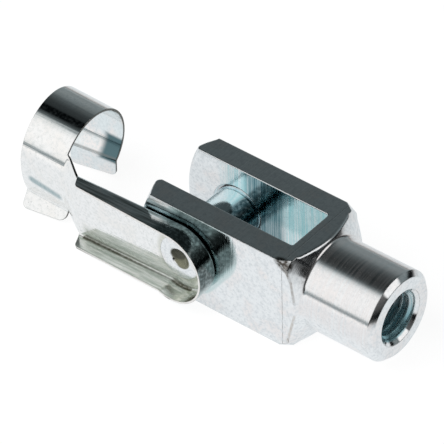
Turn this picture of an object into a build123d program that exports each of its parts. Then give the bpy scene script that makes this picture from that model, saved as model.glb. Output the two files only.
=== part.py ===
from build123d import *
import math
import os

# Clevis rod end with a folding spring-clip pin: fork, pin and spring clip.
# Frame: origin where the cross hole's axis meets the fork's axis. +X runs along the fork to its
# threaded neck, +Y along the pin away from the clip, +Z up. Millimetres and degrees.

# ---------------------------------------------------------------- fork, driving sizes
BAR = 20.0               # across the flats of the square bar
BAR_EDGE = 0.2           # break along the bar's four long edges
DOME_REACH = 12.6        # pin axis to the crown of the turned tine ends
DOME_RADIUS = 22.5       # radius that the tine ends are turned to
SLOT_WIDTH = 10.4        # between the tines
SLOT_DEPTH = 21.0        # pin axis to the bottom of the slot
SLOT_CORNER = 0.5        # radius in the slot's bottom corners
SLOT_EDGE = 0.12         # break along the slot's edges
TINE_BREAK = 0.7         # break between the slot and the turned tine ends
HOLE_BREAK = 0.5         # countersink of the cross hole, at all four mouths
NECK = 17.8              # diameter of the round neck
NECK_END = 41.0          # pin axis to the neck's end face
NECK_BREAK = 1.0         # chamfer of the neck's end
NECK_ROOT = 0.8          # fillet between shoulder and neck
CORNER_START = 21.3      # pin axis to where the bar's corners begin to be turned off
SHOULDER_START = 23.5    # pin axis to the edge of the shoulder
SHOULDER = 26.3          # diameter of that edge, which shows at the bar's corners only
SHOULDER_ANGLE = 27.0    # slope of the shoulder from the end plane
BORE = 8.5               # tapped bore, across the crests of its M10 thread
BORE_SINK = 11.2         # diameter of the countersink at the tapped bore's mouth
BORE_SINK_ANGLE = 45.0   # half angle of that countersink

# ---------------------------------------------------------------- pin, driving sizes
PIN = 10.0               # diameter of the pin
PIN_PLAY = 0.06          # radial play of the pin in the cross hole
PIN_PROUD = 1.0          # how far the pin stands out of the far tine
PIN_BREAK = 0.8          # lead-in chamfer of the pin's free end
TENON = 6.0              # diameter of the rivet tenon through the clip
TENON_PLAY = 0.03        # radial play of the tenon in the clip's hole
RIVET = 9.0              # diameter of the rivet head
RIVET_RISE = 0.7         # thickness of the rivet head
RIVET_EDGE = 0.2         # break of the rivet head's rim
DIMPLE = 4.0             # diameter of the riveting tool's dimple
DIMPLE_DEPTH = 1.0       # depth of the dimple

# ---------------------------------------------------------------- spring clip, driving sizes
SHEET = 0.45             # thickness of the spring sheet
CLIP_GAP = 0.25          # between the near tine and the clip's web
CLIP_TILT = 1.4          # how far the open clip is raised about the pin
CUP = 15.2               # outer diameter of the cup round the rivet head
CHANNEL_WAIST = 0.6      # how far the channel's lower flange stands in from the cup
CHANNEL_END = 24.3       # pin axis to the free ends of the channel's flanges
CHANNEL_SKEW = 4.0       # fall of the channel from the line through pin and ring
FLANGE = 4.4             # depth of the flanges at the pin
TOP_TAPER = 3.6          # how fast the upper flange gets lower towards the ring
LOW_TAPER = 2.2          # how fast the lower flange gets lower towards the ring
CUP_TAPER = 2.2          # how fast the cup's rim rises beyond the pin
FLANGE_SLANT = 1.4       # how far the flanges' free ends slant back from web to rim
FLANGE_CORNER = 1.0      # rounding of the flanges' free corners
BEND = 0.8               # outer bend radius between web and flanges
RING_START = 29.65       # pin axis to the ring's near end, on the clip's centre line
RING_WIDTH = 10.2        # length of the ring along the neck, on the same line
START_SKEW = 2.3         # slant of the ring's near end
END_SKEW = 4.2           # slant of the ring's far end
RING_LEAN = 1.0          # how far the ring's two ends lean, crown towards the pin
RING_PLAY = 0.1          # how much wider than the neck the ring's bore is, on the radius
RING_RISE = 0.6          # how far the relaxed ring's crown stands off the neck's axis
WALL_RADIUS = 19.0       # flatter round of the near wall, below its widest point
WALL_TURN = 24.6         # how far the near wall turns in under the ring
FAR_TURN_START = 40.0    # how far the far wall turns in under the ring, at its near end
FAR_TURN_END = 47.0      # the same at its far end
LIP_BEND = 0.7           # bend radius, at mid sheet, of both lead-in lips
LIP_START = 3.3          # length of the far lip at the ring's near end
LIP_END = 4.0            # length of the far lip at the ring's far end
LIP_FLARE = 2.0          # flare of the far lip
TAB_START = 2.1          # length of the near lip, the thumb tab, at the ring's near end
TAB_END = 3.5            # length of the thumb tab at the ring's far end
TAB_FLARE = 31.0         # flare of the thumb tab
LIP_CORNER = 1.2         # rounding of the lips' free corners
TAB_CORNER = 1.7         # larger rounding of the thumb tab's corner by the arm
ARM_TOP = 54.0           # place on the ring, from its crown, where the arm's upper edge runs in

# ---------------------------------------------------------------- worked out
HALF = BAR / 2
FAR = 2 * BAR                                   # more than any cut needs to reach
OVER = 0.5                                      # how far a cut runs past the face it opens in
HOLE_RADIUS = PIN / 2 + PIN_PLAY
WEB_BACK = -(HALF + CLIP_GAP)                   # web face next to the tine
WEB_FRONT = WEB_BACK - SHEET
RING_RADIUS = NECK / 2 + RING_PLAY + SHEET / 2  # of the ring, at mid sheet
RING_SPARE = 0.2                                # share of the ring's length that its slanted cut can reach


def make_fork():
    """Square bar, turned at both ends, slotted, cross drilled and tapped: one solid."""
    corner = HALF * math.sqrt(2)
    rim = corner + OVER
    neck_root = SHOULDER_START + (SHOULDER - NECK) / 2 * math.tan(math.radians(SHOULDER_ANGLE))
    lead = (SHOULDER_START - CORNER_START) / (corner - SHOULDER / 2)
    dome_centre = DOME_RADIUS - DOME_REACH
    dome_rim = dome_centre - math.sqrt(DOME_RADIUS**2 - rim**2)
    dome_half = dome_centre - math.sqrt(DOME_RADIUS**2 - (rim / 2) ** 2)
    outline = Curve() + [
        ThreePointArc((-DOME_REACH, 0), (dome_half, rim / 2), (dome_rim, rim)),
        Polyline(
            (dome_rim, rim),
            (CORNER_START - OVER * lead, rim),
            (SHOULDER_START, SHOULDER / 2),
            (neck_root, NECK / 2),
            (NECK_END - NECK_BREAK, NECK / 2),
            (NECK_END, NECK / 2 - NECK_BREAK),
            (NECK_END, 0),
            (-DOME_REACH, 0),
        ),
    ]
    profile = make_face(outline)
    root = profile.vertices().sort_by_distance((neck_root, NECK / 2, 0))[0]
    turned = revolve(fillet(root, NECK_ROOT), Axis.X)

    length = DOME_REACH + NECK_END
    bar = Pos((NECK_END - DOME_REACH) / 2, 0, 0) * Box(length, BAR, BAR)
    bar = chamfer(bar.edges().filter_by(Axis.X), BAR_EDGE)
    body = turned & bar

    slot = Pos(SLOT_DEPTH - FAR / 2, 0, 0) * Box(FAR, SLOT_WIDTH, FAR)
    slot = fillet(slot.edges().filter_by(Axis.Z).sort_by(Axis.X)[-2:], SLOT_CORNER)
    body -= slot
    tine_ends = body.faces().filter_by(GeomType.SPHERE).edges()
    body = chamfer([e for e in tine_ends if abs(abs(e.center().Y) - SLOT_WIDTH / 2) < 0.01], TINE_BREAK)
    mouth = Rectangle(FAR, SLOT_WIDTH)
    mouth = Pos(SLOT_DEPTH - FAR / 2, 0, 0) * fillet(mouth.vertices().sort_by(Axis.X)[-2:], SLOT_CORNER)
    for side in (1, -1):
        body -= extrude(Plane.XY.offset(side * (HALF - SLOT_EDGE)) * mouth, side * 2 * SLOT_EDGE, taper=-45)

    body -= Cylinder(HOLE_RADIUS, FAR, rotation=(90, 0, 0))
    for face, inward in ((HALF, -1), (SLOT_WIDTH / 2, 1)):
        for side in (1, -1):
            body -= sink(side * face, side * inward)

    wall = NECK_END - SLOT_DEPTH
    bore = Pos(SLOT_DEPTH + wall / 2, 0, 0) * Cylinder(BORE / 2, wall + 2 * OVER, rotation=(0, 90, 0))
    depth = (BORE_SINK - BORE) / 2 / math.tan(math.radians(BORE_SINK_ANGLE))
    mouth_cut = Pos(NECK_END - depth / 2, 0, 0) * Cone(BORE / 2, BORE_SINK / 2, depth, rotation=(0, 90, 0))
    return body - bore - mouth_cut


def sink(place, inward):
    """Cone that breaks one mouth of the cross hole, from a face at y = place into the tine."""
    cone = Cone(HOLE_RADIUS + HOLE_BREAK, HOLE_RADIUS, HOLE_BREAK)
    turn = -90 if inward > 0 else 90
    return Pos(0, place + inward * HOLE_BREAK / 2, 0) * Rot(turn, 0, 0) * cone


def make_pin():
    """Turned pin with a shoulder against the clip's web and a riveted, dimpled head."""
    tip = HALF + PIN_PROUD
    head = WEB_FRONT - RIVET_RISE
    outline = Polyline(
        (0, tip),
        (PIN / 2 - PIN_BREAK, tip),
        (PIN / 2, tip - PIN_BREAK),
        (PIN / 2, WEB_BACK),
        (TENON / 2, WEB_BACK),
        (TENON / 2, WEB_FRONT),
        (RIVET / 2, WEB_FRONT),
        (RIVET / 2, head),
        (0, head),
        (0, tip),
    )
    pin = revolve(make_face(outline), Axis.Y)
    pin = chamfer(pin.edges().sort_by(Axis.Y)[0], RIVET_EDGE)
    ball = ((DIMPLE / 2) ** 2 + DIMPLE_DEPTH**2) / (2 * DIMPLE_DEPTH)
    return pin - Pos(0, head - ball + DIMPLE_DEPTH, 0) * Sphere(ball)


def make_clip():
    """Spring clip, one folded sheet: cup, channel, arm, ring and two lips."""
    clip = channel() + arm() + ring()
    return Rot(0, CLIP_TILT, 0) * clip


def channel():
    """Web with its two flanges, run together round the pin as a cup."""
    reach = 2 * CHANNEL_END
    sheet = trough(WEB_BACK, 0, BEND, reach) - trough(WEB_FRONT, SHEET, BEND - SHEET, 2 * reach)
    sheet = Rot(0, -CHANNEL_SKEW, 0) * sheet
    kept = side_shape(TOP_TAPER, 1) + side_shape(LOW_TAPER, -1)
    tenon_hole = Pos(0, WEB_BACK, 0) * Cylinder(TENON / 2 + TENON_PLAY, 4 * SHEET, rotation=(90, 0, 0))
    return (sheet & kept) - tenon_hole


def trough(floor, inset, bend, reach):
    """Solid of cup and channel from a floor plane outwards, standing in by an inset all round."""
    top = CUP / 2 - inset
    low = top - CHANNEL_WAIST
    meet = -math.sqrt(top**2 - low**2)
    plan = make_face(Curve() + [
        ThreePointArc((0, top), (top, 0), (meet, -low)),
        Polyline((meet, -low), (-reach, -low), (-reach, top), (0, top)),
    ])
    block = extrude(Plane.XZ.offset(-floor) * plan, 2 * FLANGE)
    bends = block.faces().sort_by(Axis.Y)[-1].edges().filter_by(lambda e: e.center().X > 1 - reach)
    return fillet(bends, bend)


def side_shape(taper, side):
    """What one flange's rim and free end leave of the channel above or below the pin axis."""
    back = FLANGE_SLANT - CHANNEL_END
    rim = WEB_BACK - FLANGE
    corners = [
        (0, WEB_BACK),
        (FAR, WEB_BACK),
        (FAR, rim - FAR * math.tan(math.radians(CUP_TAPER))),
        (0, rim),
        (back, rim - back * math.tan(math.radians(taper))),
        (-CHANNEL_END, WEB_FRONT),
        (-CHANNEL_END, WEB_BACK),
    ]
    outline = make_face(Polyline(*corners, close=True))
    free_corner = outline.vertices().sort_by_distance(corners[4])[0]
    return extrude(fillet(free_corner, FLANGE_CORNER), side * CUP)


def arm():
    """Web between channel and ring, lofted from the flat web to the round of the ring."""
    skew = math.radians(CHANNEL_SKEW)
    fall = CHANNEL_END * math.tan(skew)
    high = (CUP / 2 - BEND) / math.cos(skew) - fall
    low = (CHANNEL_WAIST + BEND - CUP / 2) / math.cos(skew) - fall
    mid = (high + low) / 2
    web = make_face(Polyline(
        (WEB_FRONT, low), (WEB_FRONT, mid), (WEB_FRONT, high),
        (WEB_BACK, high), (WEB_BACK, mid), (WEB_BACK, low), close=True))
    wall = straight(near_wall(ARM_TOP))
    return loft([Plane.YZ.offset(-CHANNEL_END) * web, wall.faces().sort_by(Axis.X)[-1]], ruled=True)


def ring():
    """C-shaped ring that snaps round the neck, with a lead-in lip at each side of its gap."""
    near = near_wall(0)
    bend = JernArc(near @ 1, near % 1, LIP_BEND, -WALL_TURN - TAB_FLARE)
    crown = JernArc((0, RING_RADIUS), (1, 0), RING_RADIUS, -90)

    def tab(along):
        return PolarLine(bend @ 1, TAB_START + along * (TAB_END - TAB_START), direction=bend % 1)

    def far_wall(along):
        turn = FAR_TURN_START + along * (FAR_TURN_END - FAR_TURN_START)
        wall = JernArc(crown @ 1, (0, -1), RING_RADIUS, -turn)
        mouth = JernArc(wall @ 1, wall % 1, LIP_BEND, turn + LIP_FLARE)
        return wall + mouth + PolarLine(mouth @ 1, LIP_START + along * (LIP_END - LIP_START), direction=mouth % 1)

    band = straight(near + bend + crown) + changing(tab) + changing(far_wall)
    across = band.edges().filter_by(lambda e: e.length < 1.1 * SHEET)
    tab_end, tab_start = across.filter_by(lambda e: e.center().Y < 0).sort_by(Axis.Z)[:2].sort_by(Axis.X)
    lip_corners = across.filter_by(lambda e: e.center().Y > 0).sort_by(Axis.Z)[:2]
    band = fillet([tab_end, *lip_corners], LIP_CORNER)
    arm_corner = band.edges().sort_by_distance(tab_start.center())[0]
    return fillet(arm_corner, min(TAB_CORNER, 0.9 * TAB_START))


def near_wall(start):
    """Path of the ring's near wall, from an angle off its crown down to the thumb tab's bend."""
    turn = math.radians(start)
    spot = (-RING_RADIUS * math.sin(turn), RING_RADIUS * math.cos(turn))
    upper = JernArc(spot, (-math.cos(turn), -math.sin(turn)), RING_RADIUS, 90 - start)
    return upper + JernArc(upper @ 1, (0, -1), WALL_RADIUS, WALL_TURN)


def straight(path):
    """Stretch of the ring with one section all along, cut to the ring's two ends."""
    section = Plane.YZ.offset(-RING_START - RING_WIDTH / 2) * Pos(0, RING_RISE) * trace(path, SHEET)
    return extrude(section, RING_WIDTH, both=True) & ring_block()


def changing(path):
    """Stretch of the ring whose section changes evenly from its near end to its far end."""
    sections = [Plane.YZ.offset(-RING_START - along * RING_WIDTH) * Pos(0, RING_RISE) * trace(path(along), SHEET)
                for along in (-RING_SPARE, 1 + RING_SPARE)]
    return loft(sections, ruled=True) & ring_block()


def ring_block():
    """Block with two slanted ends that the ring and its lips are cut to."""
    start = FAR * math.tan(math.radians(START_SKEW))
    end = FAR * math.tan(math.radians(END_SKEW))
    plan = make_face(Polyline(
        (start - RING_START, -FAR), (-start - RING_START, FAR),
        (-end - RING_START - RING_WIDTH, FAR), (end - RING_START - RING_WIDTH, -FAR), close=True))
    return Rot(0, RING_LEAN, 0) * extrude(plan, FAR, both=True)


parts = {"clevis_fork": make_fork(), "clip_pin": make_pin(), "spring_clip": make_clip()}
os.makedirs("parts", exist_ok=True)
for name, solid in parts.items():
    export_step(solid, f"parts/{name}.step")
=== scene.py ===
"""Clevis rod end with a folding spring-clip pin: fork, pin and spring clip in bright zinc plate.

Every piece is modelled at its own place in working millimetres and brought to metres at the end.
Frame: origin where the pin's axis meets the fork's axis, +X to the threaded neck, +Y along the pin
away from the clip, +Z up.
"""
import logging
import math
from collections.abc import Callable, Iterable
from dataclasses import dataclass
from enum import Enum
from functools import cache
from typing import Self

import bmesh
import bpy
from bmesh.types import BMEdge, BMFace, BMVert
from bpy.types import Material, Node, NodeSocket, NodeTree, Object, bpy_prop_collection
from mathutils import Matrix, Vector


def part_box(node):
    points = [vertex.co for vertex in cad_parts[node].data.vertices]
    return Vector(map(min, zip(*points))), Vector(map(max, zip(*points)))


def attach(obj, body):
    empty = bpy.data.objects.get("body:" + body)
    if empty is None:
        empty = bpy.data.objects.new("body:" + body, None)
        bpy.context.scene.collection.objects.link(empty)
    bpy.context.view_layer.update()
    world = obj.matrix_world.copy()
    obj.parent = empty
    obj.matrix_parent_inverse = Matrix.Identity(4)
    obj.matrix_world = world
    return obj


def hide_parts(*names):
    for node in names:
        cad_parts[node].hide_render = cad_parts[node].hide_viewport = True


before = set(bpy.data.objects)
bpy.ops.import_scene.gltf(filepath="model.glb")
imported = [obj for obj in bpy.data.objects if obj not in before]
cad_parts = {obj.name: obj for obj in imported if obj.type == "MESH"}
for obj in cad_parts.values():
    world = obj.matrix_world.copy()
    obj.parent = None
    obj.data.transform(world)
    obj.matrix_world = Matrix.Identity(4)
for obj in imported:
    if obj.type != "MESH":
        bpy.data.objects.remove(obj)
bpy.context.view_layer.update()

logging.basicConfig(level=logging.INFO, format="%(name)s: %(message)s")
LOG = logging.getLogger("clevis_rod_end")

METRES = 0.001           # one working unit, a millimetre, in metres
MERGE = 2e-4             # points nearer than this are one point, in working units
FULL_TURN = 2 * math.pi
ALONG = 0.9              # share of a direction or normal that counts as lying along an axis

Flat = tuple[float, float]
Point = tuple[float, float, float]
Value = float | tuple[float, ...] | NodeSocket
Test = Callable[[Vector, Vector], bool]


class Axis(Enum):
    """Direction of an axis."""

    X = (1.0, 0.0, 0.0)
    Y = (0.0, 1.0, 0.0)


class Cut(Enum):
    """What one solid does to another."""

    KEEP_COMMON = "INTERSECT"
    TAKE_AWAY = "DIFFERENCE"


class Kind(Enum):
    """What is selected in a mesh."""

    VERT = "VERT"
    EDGE = "EDGE"
    FACE = "FACE"


class Side(Enum):
    """One of the two tines, by its side of the slot."""

    FAR = 1
    NEAR = -1


class Socket(Enum):
    """What a socket of a node group carries."""

    NUMBER = "NodeSocketFloat"
    VECTOR = "NodeSocketVector"


@dataclass(frozen=True)
class Corner:
    """Corner of a turned profile, with the radius that rounds it."""

    along: float
    out: float
    radius: float = 0.0


def rounded(corners: list[Corner], step: float = 12.0) -> list[Flat]:
    """Lays a profile through its corners and rounds those that have a radius.

    Args:
        corners: Corners from one end of the profile to the other.
        step: Largest turn between two points of a rounding, in degrees.

    Returns:
        Points of the profile.
    """
    points: list[Flat] = [(corners[0].along, corners[0].out)]
    for before, here, after in zip(corners, corners[1:], corners[2:]):
        spot = Vector((here.along, here.out))
        if here.radius == 0:
            points.append(tuple(spot))
            continue
        back = (Vector((before.along, before.out)) - spot).normalized()
        on = (Vector((after.along, after.out)) - spot).normalized()
        half = back.angle(on) / 2
        centre = spot + (back + on).normalized() * here.radius / math.sin(half)
        first = spot + back * here.radius / math.tan(half) - centre
        sweep = math.pi - 2 * half
        side = 1 if back.cross(on) < 0 else -1
        count = max(2, math.ceil(math.degrees(sweep) / step))
        for i in range(count + 1):
            turned = Matrix.Rotation(side * sweep * i / count, 2) @ first
            points.append(tuple(centre + turned))
    points.append((corners[-1].along, corners[-1].out))
    return points


def arc(centre: Flat, radius: float, start: float, end: float, count: int) -> list[Flat]:
    """Points along a circle's arc.

    Args:
        centre: Middle of the circle.
        radius: Its radius.
        start: Angle of the first point, in degrees.
        end: Angle of the last point, in degrees.
        count: Number of runs between them.

    Returns:
        The points, first and last included.
    """
    angles = [math.radians(start + (end - start) * i / count) for i in range(count + 1)]
    return [(centre[0] + radius * math.cos(a), centre[1] + radius * math.sin(a)) for a in angles]


def grey(level: float) -> Point:
    """Colour of one level in all three channels."""
    return (level, level, level)


class Wiring:
    """Adds nodes to one tree and links them."""

    def __init__(self, tree: NodeTree) -> None:
        """Takes the tree to work on."""
        self.tree = tree

    def add(self, kind: str, inputs: dict[str | int, Value] | None = None,
            **settings: object) -> Node:
        """Adds one node.

        Args:
            kind: Node type without its ShaderNode prefix, or the full name of another type.
            inputs: What each input gets, a value or a socket to link from.
            settings: Properties of the node.

        Returns:
            The node.
        """
        full = kind if kind.startswith("Node") else "ShaderNode" + kind
        node = self.tree.nodes.new(full)
        for key, value in settings.items():
            setattr(node, key, value)
        for key, value in (inputs or {}).items():
            if isinstance(value, NodeSocket):
                self.tree.links.new(value, node.inputs[key])
            else:
                node.inputs[key].default_value = value
        return node

    def group(self, tree: NodeTree, inputs: dict[str, Value]) -> bpy_prop_collection:
        """Places a shared group with its own values and returns its outputs."""
        return self.add("Group", inputs, node_tree=tree).outputs

    def math(self, operation: str, first: Value, second: Value = 0.0, third: Value = 0.0,
             clamp: bool = False) -> NodeSocket:
        """Adds a Math node and returns its result."""
        inputs = {0: first, 1: second, 2: third}
        return self.add("Math", inputs, operation=operation, use_clamp=clamp).outputs[0]

    def vector(self, operation: str, first: Value, second: Value) -> NodeSocket:
        """Adds a Vector Math node.

        Args:
            operation: What the node works out.
            first: Its first vector.
            second: Its second vector, or the factor of a scaling.

        Returns:
            Socket of its vector, or of its number for a dot product or a distance.
        """
        other = "Scale" if operation == "SCALE" else 1
        node = self.add("VectorMath", {0: first, other: second}, operation=operation)
        return node.outputs["Value" if operation in ("DOT_PRODUCT", "DISTANCE") else "Vector"]

    def place(self) -> NodeSocket:
        """Adds the place on the piece, in working millimetres."""
        return self.vector("SCALE", self.add("TexCoord").outputs["Object"], 1 / METRES)

    def span(self, value: Value, start: float, end: float, low: float = 0.0,
             high: float = 1.0) -> NodeSocket:
        """Fades from low to high while a value goes from start to end.

        Args:
            value: What is mapped.
            start: Value that gives low.
            end: Value that gives high.
            low: Result up to start.
            high: Result from end on.

        Returns:
            Socket of the smooth step.
        """
        ends = {"Value": value, "From Min": start, "From Max": end, "To Min": low, "To Max": high}
        return self.add("MapRange", ends, interpolation_type="SMOOTHSTEP").outputs["Result"]

    def blend(self, mask: Value, first: Value, second: Value, kind: str = "MIX") -> NodeSocket:
        """Blends two colours by a mask and returns the colour."""
        return self.add("Mix", {0: mask, 6: first, 7: second}, data_type="RGBA", blend_type=kind).outputs[2]

    def ramp(self, value: Value, stops: Iterable[tuple[float, Point]]) -> NodeSocket:
        """Looks a colour up along a row of stops.

        Args:
            value: Place along the row, 0 to 1.
            stops: Place and colour of each stop, in order.

        Returns:
            Socket of the colour.
        """
        node = self.add("ValToRGB", {0: value})
        elements = node.color_ramp.elements
        elements.remove(elements[1])
        for i, (place, colour) in enumerate(stops):
            element = elements[0] if i == 0 else elements.new(place)
            element.position = place
            element.color = (*colour, 1)
        return node.outputs[0]


def blank_material(name: str) -> tuple[Material, Wiring]:
    """Makes a material without nodes.

    Args:
        name: Name of the material.

    Returns:
        The material and the wiring of its tree.
    """
    material = bpy.data.materials.new(name)
    material.use_nodes = True
    material.node_tree.nodes.clear()
    return material, Wiring(material.node_tree)


class Groups:
    """Node groups that the finishes share, each made at its first use."""

    @staticmethod
    def start(name: str, inputs: dict[str, float | Point],
              outputs: dict[str, Socket]) -> tuple[Wiring, Node]:
        """Opens a new group with its sockets.

        Args:
            name: Name of the group.
            inputs: Its number and vector inputs with their defaults.
            outputs: Its outputs and what they carry.

        Returns:
            The group's wiring and its input node.
        """
        tree = bpy.data.node_groups.new(name, "ShaderNodeTree")
        for key, value in inputs.items():
            kind = Socket.VECTOR if isinstance(value, tuple) else Socket.NUMBER
            tree.interface.new_socket(key, in_out="INPUT", socket_type=kind.value).default_value = value
        for key, kind in outputs.items():
            tree.interface.new_socket(key, in_out="OUTPUT", socket_type=kind.value)
        wiring = Wiring(tree)
        return wiring, wiring.add("NodeGroupInput")

    @staticmethod
    @cache
    def mottle() -> NodeTree:
        """Cloudy, slightly speckled look of plated zinc.

        Returns:
            Group with a slow drift mask, a cloud mask, a speck mask and a height.
        """
        outputs = dict.fromkeys(("Drift", "Cloud", "Specks", "Height"), Socket.NUMBER)
        wiring, given = Groups.start(
            "plate_mottle", {"Drift Size": 4.5, "Cloud Size": 0.6, "Speck Size": 0.28}, outputs)
        place = wiring.place()
        masks = []
        for key, detail, start, end in (("Drift Size", 2.0, 0.45, 0.65), ("Cloud Size", 3.0, 0.38, 0.74),
                                        ("Speck Size", 1.0, 0.73, 0.80)):
            size = wiring.math("DIVIDE", 1.0, given.outputs[key])
            noise = wiring.add("TexNoise", {
                "Vector": place, "Scale": size, "Detail": detail, "Roughness": 0.55})
            masks.append(wiring.span(noise.outputs[0], start, end))
        drift, cloud, specks = masks
        grain = wiring.add("TexNoise", {"Vector": place, "Scale": 3.5, "Detail": 3.0}).outputs[0]
        pits = wiring.math("MULTIPLY", specks, -0.5)
        height = wiring.math("ADD", wiring.math("MULTIPLY", grain, 0.5), pits)
        wiring.add("NodeGroupOutput", {"Drift": drift, "Cloud": cloud, "Specks": specks, "Height": height})
        return wiring.tree

    @staticmethod
    @cache
    def soft_box() -> NodeTree:
        """Mask of the space between two corners, fading outwards by its own width along each axis.

        Returns:
            Group with the mask.
        """
        wiring, given = Groups.start(
            "soft_box", {"Low": (0.0, 0.0, 0.0), "High": (1.0, 1.0, 1.0), "Soft": (1.0, 1.0, 1.0)},
            {"Mask": Socket.NUMBER})
        place = wiring.place()
        under = wiring.vector("SUBTRACT", given.outputs["Low"], place)
        over = wiring.vector("SUBTRACT", place, given.outputs["High"])
        share = wiring.vector("DIVIDE", wiring.vector("MAXIMUM", under, over), given.outputs["Soft"])
        parts = wiring.add("SeparateXYZ", {0: share}).outputs
        most = wiring.math("MAXIMUM", wiring.math("MAXIMUM", parts[0], parts[1]), parts[2])
        wiring.add("NodeGroupOutput", {"Mask": wiring.span(most, 0.0, 1.0, 1.0, 0.0)})
        return wiring.tree

    @staticmethod
    @cache
    def soft_line() -> NodeTree:
        """Mask of the space round a straight line.

        Returns:
            Group with the mask.
        """
        wiring, given = Groups.start(
            "soft_line", {"Start": (0.0, 0.0, 0.0), "End": (1.0, 0.0, 0.0), "Radius": 1.0, "Soft": 0.5},
            {"Mask": Socket.NUMBER})
        first = given.outputs["Start"]
        line = wiring.vector("SUBTRACT", given.outputs["End"], first)
        reach = wiring.vector("SUBTRACT", wiring.place(), first)
        along = wiring.vector("DOT_PRODUCT", reach, line)
        share = wiring.math("DIVIDE", along, wiring.vector("DOT_PRODUCT", line, line), clamp=True)
        away = wiring.vector("DISTANCE", reach, wiring.vector("SCALE", line, share))
        outside = wiring.math("SUBTRACT", away, given.outputs["Radius"])
        past = wiring.math("DIVIDE", outside, given.outputs["Soft"])
        wiring.add("NodeGroupOutput", {"Mask": wiring.span(past, 0.0, 1.0, 1.0, 0.0)})
        return wiring.tree

    @staticmethod
    @cache
    def tool_lines() -> NodeTree:
        """Fine lines that a cutter or a rolling mill leaves, all at right angles to one direction.

        Returns:
            Group with a mask of the lines.
        """
        wiring, given = Groups.start(
            "tool_lines", {"Across": (0.0, 0.0, 0.0), "Spacing": 0.12}, {"Lines": Socket.NUMBER})
        thin = wiring.vector("ADD", given.outputs["Across"], grey(0.02))
        squeezed = wiring.vector("MULTIPLY", wiring.place(), thin)
        rate = wiring.math("DIVIDE", 1.0, given.outputs["Spacing"])
        noise = wiring.add("TexNoise", {"Vector": squeezed, "Scale": rate, "Detail": 3.0, "Roughness": 0.6})
        wiring.add("NodeGroupOutput", {"Lines": wiring.span(noise.outputs[0], 0.3, 0.7)})
        return wiring.tree

    @staticmethod
    @cache
    def rubbed_edges() -> NodeTree:
        """Rubbed edges: where the plate is rounded and polished by handling.

        Returns:
            Group with an edge mask and the softened normal.
        """
        wiring, given = Groups.start(
            "rubbed_edges", {"Width": 0.12}, {"Edge": Socket.NUMBER, "Normal": Socket.VECTOR})
        width = wiring.math("MULTIPLY", given.outputs["Width"], METRES)
        soft = wiring.add("Bevel", {"Radius": width}, samples=6).outputs[0]
        same = wiring.vector("DOT_PRODUCT", soft, wiring.add("NewGeometry").outputs["Normal"])
        wiring.add("NodeGroupOutput", {"Edge": wiring.span(same, 0.995, 0.9), "Normal": soft})
        return wiring.tree


@dataclass(frozen=True, kw_only=True)
class Patch:
    """Stretch of plate painted another colour, mostly painted shade and reflection, and how the finish breaks
    it up.
    """

    colour: Point
    streaky: float = 0.0
    cloudy: float = 0.0
    dull: float = 0.0

    def whole(self, wiring: Wiring) -> NodeSocket:
        """Adds the mask of the unbroken patch, which each shape of patch makes in its own way."""
        raise NotImplementedError

    def mask(self, wiring: Wiring, lines: NodeSocket,
             cloud: NodeSocket) -> NodeSocket:
        """Adds the patch's mask to a material, broken up by tool lines and clouds.

        Args:
            wiring: Wiring of the material.
            lines: Mask of the finish's tool lines.
            cloud: Mask of its clouds.

        Returns:
            Socket of the mask.
        """
        mask = self.whole(wiring)
        for share, breaks in ((self.streaky, lines), (self.cloudy, cloud)):
            if share > 0:
                gap = wiring.math("MULTIPLY", breaks, share)
                mask = wiring.math("MULTIPLY", mask, wiring.math("SUBTRACT", 1.0, gap))
        return mask


@dataclass(frozen=True)
class BoxPatch(Patch):
    """Patch between two corners, fading outwards by a width along each axis."""

    low: Point
    high: Point
    soft: Point

    def whole(self, wiring: Wiring) -> NodeSocket:
        """Adds the mask of the space between the corners."""
        values = {"Low": self.low, "High": self.high, "Soft": self.soft}
        return wiring.group(Groups.soft_box(), values)["Mask"]


@dataclass(frozen=True)
class LinePatch(Patch):
    """Patch round a straight line, fading outwards from a radius."""

    start: Point
    end: Point
    radius: float
    soft: float

    def whole(self, wiring: Wiring) -> NodeSocket:
        """Adds the mask of the space round the line."""
        values = {"Start": self.start, "End": self.end, "Radius": self.radius, "Soft": self.soft}
        return wiring.group(Groups.soft_line(), values)["Mask"]


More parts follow.
